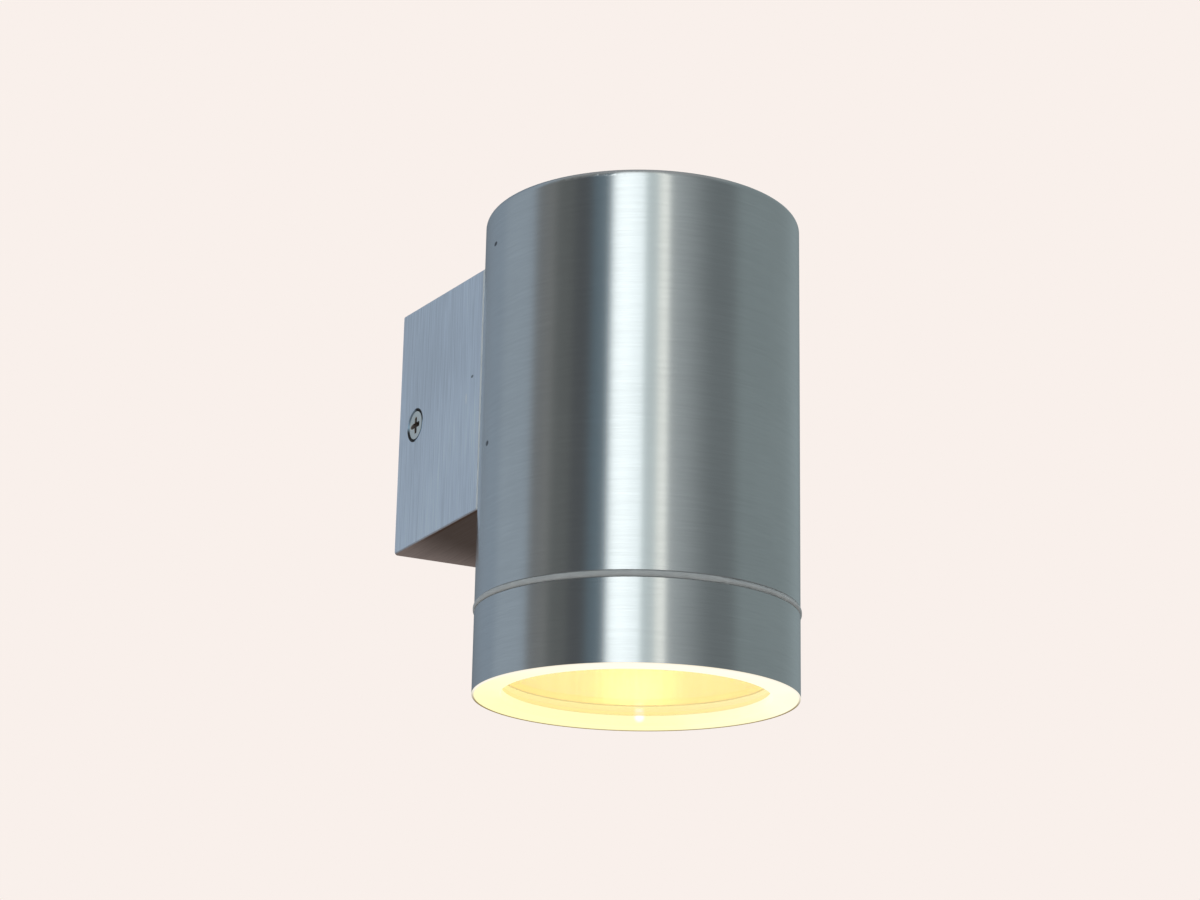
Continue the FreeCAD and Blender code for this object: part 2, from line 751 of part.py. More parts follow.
def cover_screws():
    """Countersunk side screws; each head lies just under the box's side."""
    half = side_screw_head_d / 2
    shank = m3_d / 2
    cone = Part.makeCone(shank, half, half - shank, V(0, 0, shank - half))
    screw = cone.fuse(Part.makeCylinder(shank, side_screw_length, V(0, 0, -side_screw_length)))
    screw = one_solid(screw.cut(cross_recess(recess_d)))
    screws = []
    for side in (-1, 1):
        place = V(side * (screw_side_x - side_screw_sunk), -side_screw_from_wall, 0)
        screws.append(aimed(screw, place, V(side, 0, 0)))
    return screws


# ---------------------------------------------------------------- wall plate, seal, cable entry

def wall_slots(near_y, far_y):
    """The two slots for the wall screws, lengthwise along X."""
    radius = wall_slot_width / 2
    run = wall_slot_length / 2 - radius
    cuts = []
    for side in (-1, 1):
        x = side * wall_slot_spacing / 2
        slot = block(x - run, x + run, far_y, near_y, -radius, radius)
        for end in (-run, run):
            slot = slot.fuse(along_y(radius, near_y, far_y, x + end, 0))
        cuts.append(slot)
    return cuts


def wall_plate():
    half = plate_half_width
    plate = block(-half, half, plate_face_y, plate_back_y, -plate_half_height, plate_half_height)
    for side in (-1, 1):
        inner = side * (flange_x - plate_thickness)
        low, high = sorted((side * flange_x, inner))
        flange = block(low, high, flange_tip_y, plate_back_y, -flange_half_width, flange_half_width)
        inward = V(-side, 0, 0)
        collar = Part.makeCylinder(collar_d / 2, collar_length, V(inner, -side_screw_from_wall, 0), inward)
        hole = Part.makeCylinder(m3_d / 2 + screw_fit, plate_thickness + collar_length + 2 * cut_past,
                                 V(side * (flange_x + cut_past), -side_screw_from_wall, 0), inward)
        plate = plate.fuse(flange).fuse(collar).cut(hole)
    front_y = plate_face_y - cut_past
    for slot in wall_slots(0, front_y):
        plate = plate.cut(slot)
    neck_r = cable_bore_d / 2 + cable_grommet_neck
    plate = plate.cut(along_y(neck_r + grommet_fit, 0, front_y, 0, cable_hole_z))
    for x in block_screw_xs():
        plate = plate.cut(along_y(m3_d / 2 + screw_fit, 0, front_y, x, block_middle_z()))
    return one_solid(plate)


def wall_seal():
    half = plate_half_width
    seal = block(-half, half, plate_back_y, 0, -plate_half_height, plate_half_height)
    front_y = plate_back_y - cut_past
    for slot in wall_slots(cut_past, front_y):
        seal = seal.cut(slot)
    return seal.cut(along_y(cable_grommet_flange_d / 2 + grommet_fit, cut_past, front_y, 0, cable_hole_z))


def cable_grommet():
    neck_r = cable_bore_d / 2 + cable_grommet_neck
    front_y = plate_face_y - cable_grommet_flange
    neck = along_y(neck_r, 0, front_y, 0, cable_hole_z)
    back = along_y(cable_grommet_flange_d / 2, 0, plate_back_y, 0, cable_hole_z)
    front = along_y(cable_grommet_flange_d / 2, plate_face_y, front_y, 0, cable_hole_z)
    bore = along_y(cable_bore_d / 2, cut_past, front_y - cut_past, 0, cable_hole_z)
    return one_solid(neck.fuse(back).fuse(front).cut(bore))


# ---------------------------------------------------------------- terminal block

def pole_xs():
    first = -(pole_count - 1) * pole_pitch / 2
    return [first + i * pole_pitch for i in range(pole_count)]


def block_screw_xs():
    """The block is held between its poles."""
    return [x + pole_pitch / 2 for x in pole_xs()[:-1]]


def block_middle_z():
    return (block_top_z + block_bottom_z) / 2


def clamp_screw_zs():
    return [block_middle_z() - clamp_screw_spacing / 2, block_middle_z() + clamp_screw_spacing / 2]


def terminal_body():
    front_y = plate_face_y - block_depth
    body = block(-block_width / 2, block_width / 2, front_y, plate_face_y, block_bottom_z, block_top_z)
    floor_y = plate_face_y - clamp_from_plate
    half = clamp_width / 2 + clamp_fit
    for x in pole_xs():
        low = block_bottom_z + block_end_wall
        high = block_top_z - block_end_wall
        body = body.cut(block(x - half, x + half, front_y - cut_past, floor_y, low, high))
        body = body.cut(upright(wire_entry_d / 2, block_bottom_z - cut_past, block_top_z + cut_past,
                                x, clamp_y))
    for x in block_screw_xs():
        body = body.cut(along_y(block_screw_hole_d / 2, plate_face_y + cut_past, front_y - cut_past,
                                x, block_middle_z()))
    return one_solid(body)


def terminal_clamps():
    clamps = []
    low = block_bottom_z + block_end_wall + clamp_fit
    high = block_top_z - block_end_wall - clamp_fit
    half = clamp_width / 2
    for x in pole_xs():
        clamp = block(x - half, x + half, clamp_y - clamp_depth / 2, clamp_y + clamp_depth / 2, low, high)
        clamp = clamp.cut(upright(clamp_bore_d / 2, low - cut_past, high + cut_past, x, clamp_y))
        for z in clamp_screw_zs():
            clamp = clamp.cut(along_y(clamp_screw_d / 2 + screw_fit, clamp_y, clamp_y - clamp_depth, x, z))
        clamps.append(one_solid(clamp))
    return clamps


def terminal_screws():
    """Headless slotted clamp screws, their tips on the wires."""
    screws = []
    for x in pole_xs():
        for z in clamp_screw_zs():
            tip_y = clamp_y - lead_d / 2 - head_gap
            end_y = tip_y - clamp_screw_length
            screw = along_y(clamp_screw_d / 2, tip_y, end_y, x, z)
            slot = block(x - clamp_screw_d, x + clamp_screw_d, end_y - cut_past, end_y + driver_slot_depth,
                         z - driver_slot / 2, z + driver_slot / 2)
            screws.append(screw.cut(slot))
    return screws


def terminal_fixing_screws():
    screws = []
    length = block_depth + plate_thickness
    for x in block_screw_xs():
        screw = pan_screw(m3_d, length, block_screw_head_d, block_screw_head_height)
        screws.append(aimed(screw, V(x, plate_face_y - block_depth, block_middle_z()), V(0, -1, 0)))
    return screws


# ---------------------------------------------------------------- wires

def wire_along(name, points, diameter):
    """Straight runs joined by arcs that touch both; each arc is as large as its runs allow."""
    edges = []
    start = points[0]
    radii = []
    for i in range(1, len(points) - 1):
        back = points[i - 1] - points[i]
        ahead = points[i + 1] - points[i]
        half_turn = (math.pi - back.getAngle(ahead)) / 2
        cut = lead_bend_share * min(back.Length, ahead.Length)
        radius = cut / math.tan(half_turn)
        radii.append(round(radius, 2))
        back.normalize()
        ahead.normalize()
        first = points[i] + back * cut
        last = points[i] + ahead * cut
        bisector = back + ahead
        bisector.normalize()
        middle = points[i] + bisector * (radius / math.cos(half_turn) - radius)
        edges.append(Part.LineSegment(start, first).toShape())
        edges.append(Part.Arc(first, middle, last).toShape())
        start = last
    edges.append(Part.LineSegment(start, points[-1]).toShape())
    path = Part.Wire(edges)
    section = Part.Wire(Part.makeCircle(diameter / 2, points[0], points[1] - points[0]))
    tube = path.makePipeShell([section], True, False)
    expected = math.pi * diameter ** 2 / 4 * path.Length
    print(name, "bend radii", radii, "length", round(path.Length, 1),
          "volume ratio", round(tube.Volume / expected, 4))
    return tube


def lead(name, pole_x, side):
    """A lampholder lead: terminal clamp, grommet, up the tube, over the arm to its contact."""
    in_x = side * lead_spread / 2
    out_x = side * pin_spacing / 2
    axis_y = -axis_to_wall
    route = [
        V(pole_x, clamp_y, block_top_z - lead_in_clamp),
        V(pole_x, clamp_y, wire_hole_z - lead_turn_drop),
        V(in_x, pad_y + grommet_flange + lead_turn_out, wire_hole_z),
        V(in_x, lead_drop_y, wire_hole_z),
        V(side * lead_spread_above / 2, lead_drop_y, lead_crown_z),
        V(out_x, axis_y, lead_crown_z),
        V(out_x, axis_y, arm_top_z + contact_stem_rise),
    ]
    return wire_along(name, route, lead_d)


def live_lead():
    return lead("live_lead", pole_xs()[0], -1)


def neutral_lead():
    return lead("neutral_lead", pole_xs()[1], 1)


def barrel_bottom_z():
    return earth_z - earth_lug_d / 2 - earth_barrel_length


def earth_wire():
    x = pole_xs()[-1]
    lug_y = earth_boss_y + earth_barrel_d / 2
    route = [
        V(x, clamp_y, block_top_z - lead_in_clamp),
        V(x, clamp_y, block_top_z + earth_wire_rise),
        V(earth_x, lug_y, block_top_z + earth_wire_second_rise),
        V(earth_x, lug_y, barrel_bottom_z() + earth_wire_in_barrel),
    ]
    return wire_along("earth_wire", route, lead_d)


def earth_lug():
    """Ring tongue under the earth screw, with the barrel that grips the earth wire."""
    face_y = earth_boss_y + earth_lug_thickness
    tongue = along_y(earth_lug_d / 2, face_y, earth_boss_y, earth_x, earth_z)
    tongue_edge_z = earth_z - earth_lug_d / 2
    barrel_y = earth_boss_y + earth_barrel_d / 2
    half = earth_neck_width / 2
    neck = block(earth_x - half, earth_x + half, earth_boss_y, face_y,
                 tongue_edge_z - earth_neck_overlap, earth_z)
    bottom_z = barrel_bottom_z()
    barrel = upright(earth_barrel_d / 2, bottom_z, tongue_edge_z - earth_barrel_gap, earth_x, barrel_y)
    bore = upright(lead_d / 2 + screw_fit, bottom_z - cut_past, bottom_z + earth_barrel_bore,
                   earth_x, barrel_y)
    hole = along_y(m4_d / 2 + screw_fit, face_y + cut_past, earth_boss_y - cut_past, earth_x, earth_z)
    return one_solid(tongue.fuse(neck).fuse(barrel.cut(bore)).cut(hole))


def earth_screw():
    screw = pan_screw(m4_d, earth_screw_length, earth_screw_head_d, m4_head_height)
    return aimed(screw, V(earth_x, earth_boss_y + earth_lug_thickness, earth_z), V(0, 1, 0))


# Each piece is saved under the name of the function that makes it.
for make in (
    tube_body, top_cap, bezel_ring, ring_gasket, lens_gasket, glass_lens,
    lamp_shell, lamp_cover, lamp_reflector, led_module, lamp_base, lamp_pins,
    lampholder, holder_contacts, holder_screws, holder_nuts, lampholder_bracket, clinch_nuts,
    tube_screws, tube_screw_washers, wire_grommet,
    bracket_box, cover_screws, wall_plate, wall_seal, cable_grommet,
    terminal_body, terminal_clamps, terminal_screws, terminal_fixing_screws,
    live_lead, neutral_lead, earth_wire, earth_lug, earth_screw,
):
    save(make.__name__, make())
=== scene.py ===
import json
import math

import bpy
from mathutils import Matrix, Vector


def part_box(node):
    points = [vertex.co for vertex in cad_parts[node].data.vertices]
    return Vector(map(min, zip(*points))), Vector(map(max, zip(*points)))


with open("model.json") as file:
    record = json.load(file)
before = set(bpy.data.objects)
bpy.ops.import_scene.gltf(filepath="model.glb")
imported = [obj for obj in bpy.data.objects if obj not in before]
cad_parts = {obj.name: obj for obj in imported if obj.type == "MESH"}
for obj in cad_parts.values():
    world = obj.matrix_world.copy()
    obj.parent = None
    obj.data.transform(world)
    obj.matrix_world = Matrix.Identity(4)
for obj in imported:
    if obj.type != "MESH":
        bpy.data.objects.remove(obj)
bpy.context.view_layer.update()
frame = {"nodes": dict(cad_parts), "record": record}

# Lengths are in metres and colours are linear (r, g, b). The wall is the plane y = 0, the light
# stands out from it towards -y, its axis is upright, and the side with the visible screw is -x.

# ------------------------------------------------------------------ places read from the frame
TUBE_LOW, TUBE_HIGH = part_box("tube_body")
GLASS_LOW, GLASS_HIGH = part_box("glass_lens")
SCREWS_LOW, SCREWS_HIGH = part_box("cover_screws")
RING_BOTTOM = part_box("bezel_ring")[0][2]
GLASS_BOTTOM, GLASS_TOP = GLASS_LOW[2], GLASS_HIGH[2]
SCREW_Y = (SCREWS_LOW[1] + SCREWS_HIGH[1]) / 2
HEAD_FACE = SCREWS_HIGH[0]            # how far the screw heads' faces are from the middle
TUBE_R = (TUBE_HIGH[0] - TUBE_LOW[0]) / 2
AXIS_Y = (TUBE_HIGH[1] + TUBE_LOW[1]) / 2
AXIS = Vector((0.0, AXIS_Y, 0.0))
UP = (0.0, 0.0, 1.0)

# ------------------------------------------------------------------ camera, fitted to the photo
CAMERA_FROM_AXIS = Vector((-0.23555, -0.42429, -0.16256))
CAMERA_YAW = math.radians(28.163)
CAMERA_PITCH = math.radians(17.074)
CAMERA_ROLL = math.radians(1.082)
FRAME_WIDTH_PX = 1200
FOCAL_PX = 2708
SENSOR_WIDTH = 36.0
CLIP_START, CLIP_END = 0.01, 50.0

# ------------------------------------------------------------------ tube and ring
FADE = 0.0001                         # over this length a painted area fades out
BRUSHED = (0.585, 0.60, 0.605)
GRIT_DEPTH = 0.0000018
PIT_DARK = (0.05, 0.05, 0.06)
# Pits and other spots: (y, z) centre, (y, z) half sizes.
TUBE_PITS = (((-0.0498, -0.0158), (0.0009, 0.0006)),
             ((-0.0512, 0.0229), (0.0009, 0.0005)))
SPOT_CORE = 0.6                       # share of a spot that has its full colour

BORE_R = 0.0268                       # the ring's bore inside its thread, and a little more
POCKET_TOP = GLASS_TOP + 0.003        # above the ring's pocket for its gasket
POCKET_FADE = 0.001
LIP_WALL = 0.00035                    # metal left at the ring's mouth
LIP_HEIGHT = 0.0005
LIP_TOP = RING_BOTTOM + LIP_HEIGHT
LIP_FADE = 0.2 * LIP_HEIGHT
EDGE_ROUND = 0.00015                  # the ring's outer edges
FAR_SIDE = (0.47, 0.88, 0.0)          # level directions across the lit mouth
RIGHT_SIDE = (0.88, -0.47, 0.0)
# Where the lip's painted glow dims to painted shade on the far side
LIP_SHADE_START, LIP_SHADE_FULL = -0.008, 0.006   # along FAR_SIDE

# The bore is painted as lit by the lamp: warm colours and a glow, in streaks between two of each.
# The lip gets a painted glow, bright on the near side and dim on the far side as painted shade.
BORE_PAINTED_LAMPLIGHT = ((0.72, 0.59, 0.34), (0.77, 0.64, 0.39))
BORE_GLOWS = ((0.86, 0.64, 0.195), (0.89, 0.67, 0.22))
BORE_STRENGTH = 0.9
LIP_TINT = (0.45, 0.34, 0.20)
# The lip's painted glow: bright on the near side, dim on the far side as painted shade.
LIP_NEAR_GLOW = (0.95, 0.90, 0.78)
LIP_FAR_GLOW = (0.20, 0.155, 0.065)

# ------------------------------------------------------------------ bracket box and its screws
BOX_METAL = (0.82, 0.865, 0.95)
BOX_ROUGHNESS = 0.36
BOX_GRAIN_DEPTH = 0.000006
BOX_TONE_Z = 0.027                    # the box gets darker upwards, from -BOX_TONE_Z to this
FRONT_EDGE = 0.0008                   # front edge of the box's sides, from the tube, where a highlight is painted
# painted highlight on the front edge
FRONT_EDGE_HIGHLIGHT = (0.97, 0.98, 0.99)
FRONT_EDGE_LEAN = -1.1                # tips the front edge's normal towards the room, under its painted highlight
# painted warm reflection on the underside
UNDER_WARM_REFLECTION = (0.96, 0.74, 0.62)
UNDER_SHADE = (0.20, 0.12, 0.085)
SHADE_FULL, SHADE_END = 0.042, 0.060  # from the axis: the shade on the underside near the tube

SINK_R = 0.0034                       # the side screws' countersinks
SINK_METAL = (0.48, 0.64, 0.78)
# painted shade in the gaps between the screw heads and their countersinks
SINK_DARK = (0.05, 0.045, 0.045)
SINK_ACROSS_Y, SINK_ACROSS_Z = -0.66, 0.75    # the way its two dark crescents face
BOX_PIT = ((-0.0316, 0.0033), (0.0006, 0.00035))
BOX_PIT_DARK = (0.25, 0.27, 0.30)
BOX_SCRATCH = ((-0.0293, -0.0006), (0.0003, 0.0013))
WHITE = (1.0, 1.0, 1.0)

SCREW_METALS = ((0.74, 0.76, 0.74), (0.92, 0.93, 0.89))
RECESS_R = 0.0019
RECESS_DARK = (0.045, 0.030, 0.024)
RECESS_ARM = ((SCREW_Y + 0.0011, 0.0), (0.0016, 0.0007))

# ------------------------------------------------------------------ silicone and lamp
SEAM_GREYS = ((0.22, 0.245, 0.255), (0.34, 0.37, 0.38))
SEAM_DEPTH = (0.001, 0.001, 0.001)    # how far light goes into the seam gasket

# Painted lamplight: the glow of the gasket's face and seat, and a painted glare.
FACE_YELLOW = (1.0, 0.950, 0.51)      # the gasket's face under the glass
FACE_WHITE = (1.0, 0.965, 0.82)
WHITE_PER_FAR, WHITE_PER_RIGHT = -20.0, 9.0   # how its white share changes, per metre
WHITE_CLOUDS = 0.9
SEAT_LOW = (0.68, 0.45, 0.13)         # its seat, behind the glass
SEAT_HIGH = (0.93, 0.705, 0.215)
SEAT_LINE = (0.0007, 0.0012)          # where one goes over into the other, above the glass's foot
SEAT_RIPPLE = 0.0010
GASKET_SKINS = ((0.05, 0.047, 0.035), (0.07, 0.065, 0.05))
# A painted glare of the lamp on the far side: its centres to the right and above the glass's
# underside.
GLARES = ((0.0011, -0.0003), (0.0003, 0.0022))
GLARE_HALF = (0.0013, 0.0013)
GLARE_CORE = 0.35
GLARE_WHITE = (1.0, 1.0, 0.98)

GLASS_TINT = (1.0, 0.99, 0.96)
FROST = ((0.86, 0.82, 0.70), (0.94, 0.90, 0.80))
LAMP_GLOWS = ((1.0, 0.78, 0.30), (1.0, 0.88, 0.52))      # at the lamp's rim and in its middle
HEART_FULL, HEART_END = 0.06 * TUBE_R, 0.34 * TUBE_R     # radius of the bright middle
HEART_GAIN = 9.0
BOARD_YELLOWS = ((0.85, 0.72, 0.25), (0.95, 0.84, 0.38))

# ------------------------------------------------------------------ plain finishes
# Slot, colour, roughness, then the scale of the skin where it isn't the usual one.
PLAIN_METALS = (
    ("reflector_metal", (0.9, 0.9, 0.9), 0.15),
    ("nickel_pins", (0.72, 0.70, 0.66), 0.25),
    ("contact_brass", (0.78, 0.58, 0.27), 0.28),
    ("zinc_screws", (0.68, 0.70, 0.72), 0.32),
    ("bracket_steel", (0.62, 0.64, 0.65), 0.35, 350.0),
    ("plate_steel", (0.62, 0.64, 0.65), 0.35, 350.0),
)
# The same, then the skin's depth and how dark its hollows are.
PLAIN_SOLIDS = (
    ("lamp_plastic", (0.82, 0.82, 0.80), 0.45),
    ("holder_ceramic", (0.86, 0.83, 0.76), 0.6, 1500.0, 0.00002),
    ("black_rubber", (0.025, 0.025, 0.026), 0.6),
    ("seal_foam", (0.035, 0.035, 0.036), 0.9, 2500.0, 0.0001, 0.5),
    ("block_plastic", (0.80, 0.78, 0.70), 0.4),
    ("brown_insulation", (0.16, 0.065, 0.03), 0.35),
    ("blue_insulation", (0.03, 0.11, 0.42), 0.35),
)
GREEN, YELLOW = (0.05, 0.30, 0.05), (0.75, 0.62, 0.04)
STRIPE_SCALE = 95.0

# ------------------------------------------------------------------ studio
BACKDROP = (0.947, 0.871, 0.831)      # the pale warm background
FLOOR_Z = -0.60
FLOOR_HALF = 6.0
FLOOR_TINTS = ((0.90, 0.84, 0.80), (0.93, 0.87, 0.83))
FLOOR_GLOW = 0.15                     # lifts the floor towards the backdrop where it is looked at

# Light panels round the object: azimuth of start and end (degrees, 0 towards the room and 90 to
# the right of it), over how many degrees each fades, and what the panel adds.
PANELS = (
    (-50.6, -27.4, 5.0, 3.5, (1.47, 1.58, 1.59)),       # key softbox
    (-50.6, -36.0, 5.0, 9.0, (0.20, 0.20, 0.19)),       # its hotter side
    (-65.0, -50.6, 8.0, 3.0, (0.050, 0.105, 0.14)),     # its bluish shoulder
    (-28.0, -10.0, 4.0, 4.0, (0.61, 0.70, 0.70)),       # its dimmer neighbour
    (-17.0, -9.9, 4.0, 2.0, (0.56, 0.46, 0.36)),        # warm strip at the neighbour's edge
    (-13.0, 8.0, 6.0, 38.0, (0.30, 0.32, 0.32)),        # falling off to the right
    (78.5, 87.0, 3.0, 4.0, (-0.02, -0.03, -0.035)),     # a thin stripe, duller than the rest
    (-14.0, 140.0, 20.0, 60.0, (0.10, 0.12, 0.12)),     # dim fill on the right
    (43.0, 140.0, 12.0, 60.0, (0.09, 0.115, 0.115)),    # a step brighter further round
    (112.0, 140.0, 50.0, 60.0, (0.07, 0.09, 0.10)),     # and another, near the wall
    (-190.0, -95.0, 70.0, 8.0, (0.122, 0.120, 0.113)),  # grey rest at the left
    (-100.0, -79.0, 12.0, 5.0, (0.050, 0.052, 0.042)),  # its fading front
    (-190.0, -112.5, 70.0, 8.0, (0.09, 0.15, 0.22)),    # bluish wash
    (-147.0, -112.5, 12.0, 8.0, (0.08, 0.085, 0.08)),   # and its brighter part
)
HALF_TURN, FULL_TURN = 180.0, 360.0
ROOM_DARK = (0.103, 0.112, 0.120)
UNDER_DARK = (0.20, 0.19, 0.185)
CEILING = (0.42, 0.43, 0.43)
BLACK = (0.0, 0.0, 0.0)
PLAIN_LOW = (0.72, 0.70, 0.68)        # soft light from below and from above
PLAIN_HIGH = (1.0, 1.0, 1.0)

COLOUR_A, COLOUR_B, COLOUR_RESULT = 6, 7, 2   # a Mix node's sockets for colours


# ------------------------------------------------------------------ node trees

class Net:
    """A node tree being built; an operand is a socket, a number, a vector or an (r, g, b)."""

    def __init__(self, tree):
        self.nodes = tree.nodes
        self.links = tree.links
        self.shader = tree.nodes.get("Principled BSDF")

    def feed(self, socket, operand):
        """Links an input to another socket, or sets its own value."""
        if isinstance(operand, bpy.types.NodeSocket):
            self.links.new(operand, socket)
        elif socket.type == "RGBA":
            socket.default_value = (*operand, 1.0)
        else:
            socket.default_value = operand

    def surface(self, name, operand):
        """Feeds an input of the material's shader."""
        self.feed(self.shader.inputs[name], operand)

    def source(self, name):
        """The socket that feeds an input of the material's shader so far."""
        return self.shader.inputs[name].links[0].from_socket

    def coordinates(self, kind="Object"):
        """The point's texture coordinates of one kind."""
        return self.nodes.new("ShaderNodeTexCoord").outputs[kind]

    def geometry(self, output):
        """The point's Position or Normal in the world."""
        return self.nodes.new("ShaderNodeNewGeometry").outputs[output]

    def split(self, vector):
        """A vector's x, y and z."""
        parts = self.nodes.new("ShaderNodeSeparateXYZ")
        self.feed(parts.inputs[0], vector)
        return parts.outputs["X"], parts.outputs["Y"], parts.outputs["Z"]

    def joined(self, **parts):
        """A vector from some of its X, Y and Z; the others are 0."""
        made = self.nodes.new("ShaderNodeCombineXYZ")
        for name, part in parts.items():
            self.feed(made.inputs[name], part)
        return made.outputs[0]

    def place(self):
        """The point's x, y and z in object space."""
        return self.split(self.coordinates())

    def maths(self, operation, *operands, clamp=False):
        """One Math node."""
        made = self.nodes.new("ShaderNodeMath")
        made.operation = operation
        made.use_clamp = clamp
        for slot, operand in enumerate(operands):
            self.feed(made.inputs[slot], operand)
        return made.outputs[0]

    def minus(self, first, second):
        """The first operand less the second."""
        return self.maths("SUBTRACT", first, second)

    def product(self, first, *others):
        """All operands multiplied; of masks, where they all hold."""
        for other in others:
            first = self.maths("MULTIPLY", first, other)
        return first

    def largest(self, first, *others):
        """The largest operand; of masks, where any of them holds."""
        for other in others:
            first = self.maths("MAXIMUM", first, other)
        return first

    def vector_maths(self, operation, *operands, scale=None):
        """One Vector Math node: its vector, or its number where it is a dot product."""
        made = self.nodes.new("ShaderNodeVectorMath")
        made.operation = operation
        for slot, operand in enumerate(operands):
            self.feed(made.inputs[slot], operand)
        if scale is not None:
            self.feed(made.inputs["Scale"], scale)
        return made.outputs["Value" if operation == "DOT_PRODUCT" else "Vector"]

    def ramp(self, value, start, end, low, high):
        """A smooth ramp from low at start to high at end."""
        made = self.nodes.new("ShaderNodeMapRange")
        made.interpolation_type = "SMOOTHSTEP"
        self.feed(made.inputs["Value"], value)
        made.inputs["From Min"].default_value = start
        made.inputs["From Max"].default_value = end
        made.inputs["To Min"].default_value = low
        made.inputs["To Max"].default_value = high
        return made.outputs["Result"]

    def rise(self, value, start, end):
        """0 up to start, then smoothly to 1 at end."""
        return self.ramp(value, start, end, 0.0, 1.0)

    def fall(self, value, start, end):
        """1 up to start, then smoothly to 0 at end."""
        return self.ramp(value, start, end, 1.0, 0.0)

    def noise(self, scale, detail=3.0, roughness=0.6, offset=(0.0, 0.0, 0.0)):
        """Noise over object space, with a scale for each axis, per metre."""
        stretch = self.nodes.new("ShaderNodeMapping")
        self.feed(stretch.inputs["Vector"], self.coordinates())
        stretch.inputs["Scale"].default_value = scale
        stretch.inputs["Location"].default_value = offset
        made = self.nodes.new("ShaderNodeTexNoise")
        self.feed(made.inputs["Vector"], stretch.outputs["Vector"])
        made.inputs["Scale"].default_value = 1.0
        made.inputs["Detail"].default_value = detail
        made.inputs["Roughness"].default_value = roughness
        return made.outputs["Fac"]

    def vary(self, noise, low, high, reach=0.2):
        """Takes noise that lies within reach of its middle to a range from low to high."""
        return self.ramp(noise, 0.5 - reach, 0.5 + reach, low, high)

    def mix(self, share, first, second, blend="MIX"):
        """Goes from the first colour to the second, by a share."""
        made = self.nodes.new("ShaderNodeMix")
        made.data_type = "RGBA"
        made.blend_type = blend
        self.feed(made.inputs["Factor"], share)
        self.feed(made.inputs[COLOUR_A], first)
        self.feed(made.inputs[COLOUR_B], second)
        return made.outputs[COLOUR_RESULT]

    def bump(self, height, depth, strength=0.5):
        """Gives the shader a relief; returns its node."""
        made = self.nodes.new("ShaderNodeBump")
        made.inputs["Strength"].default_value = strength
        made.inputs["Distance"].default_value = depth
        self.feed(made.inputs["Height"], height)
        self.surface("Normal", made.outputs["Normal"])
        return made

    def across_grain(self, grain):
        """Widens highlights across the grain, as fine parallel scratches do."""
        self.surface("Tangent",
                     self.vector_maths("CROSS_PRODUCT", self.geometry("Normal"), grain))

    def length(self, first, second):
        """Length of a vector in a plane, from its two parts."""
        squares = self.maths("MULTIPLY_ADD", first, first, self.product(second, second))
        return self.maths("SQRT", squares)

    def axis_distance(self, x, y):
        """How far a point is from the tube's axis."""
        return self.length(x, self.minus(y, AXIS_Y))

    def along_mouth(self, direction):
        """How far a point is from the tube's axis along a level direction."""
        from_axis = self.vector_maths("SUBTRACT", self.coordinates(), AXIS)
        return self.vector_maths("DOT_PRODUCT", from_axis, direction)

    def ellipse(self, first, second, centre, half, core):
        """1 in a share of an ellipse, its core, then smoothly to 0 at its edge."""
        across = self.maths("DIVIDE", self.minus(first, centre[0]), half[0])
        along = self.maths("DIVIDE", self.minus(second, centre[1]), half[1])
        return self.fall(self.length(across, along), core, 1.0)

    def spot(self, place, centre, half):
        """A small ellipse on the light's left side; place is (x, y, z), the rest (y, z)."""
        x, y, z = place
        mark = self.ellipse(y, z, centre, half, SPOT_CORE)
        return self.product(mark, self.maths("LESS_THAN", x, 0.0))


def new_material(name):
    """A new material and its net, with a shader in it."""
    material = bpy.data.materials.new(name)
    material.use_nodes = True
    return material, Net(material.node_tree)


# ------------------------------------------------------------------ brushed metal

def brushed_round(name, roughness, seed=0.0):
    """Metal brushed round the tube's axis, in very fine level lines: (material, net)."""
    material, net = new_material(name)
    net.surface("Metallic", 1.0)
    net.surface("Anisotropic", 0.85)
    fine = net.noise((160.0, 160.0, 6500.0), detail=2.0, offset=(seed, 0.0, 0.0))
    broad = net.noise((60.0, 60.0, 1100.0), offset=(0.0, seed, 0.0))
    cloud = net.noise((60.0, 60.0, 35.0), roughness=0.55, offset=(0.0, 0.0, seed))
    tone = net.product(net.vary(fine, 0.97, 1.03, reach=0.25),
                       net.vary(broad, 0.99, 1.01, reach=0.25),
                       net.vary(cloud, 0.975, 1.025))
    net.surface("Base Color", net.vector_maths("SCALE", BRUSHED, scale=tone))
    net.surface("Roughness", net.vary(broad, roughness * 1.03, roughness * 0.97))
    outward = net.vector_maths("SUBTRACT", net.geometry("Position"), AXIS)
    grain = net.vector_maths("CROSS_PRODUCT", UP, outward)
    net.across_grain(net.vector_maths("NORMALIZE", grain))
    net.bump(net.noise((1100.0, 1100.0, 3600.0), 1.0, 0.5), GRIT_DEPTH, strength=1.0)
    return material, net


def brushed_tube():
    """The tube: brushed, with two small dark pits near its wall side."""
    material, net = brushed_round("brushed_tube", 0.25)
    place = net.place()
    pits = net.largest(*(net.spot(place, *pit) for pit in TUBE_PITS))
    net.surface("Base Color", net.mix(pits, net.source("Base Color"), PIT_DARK))
    return material


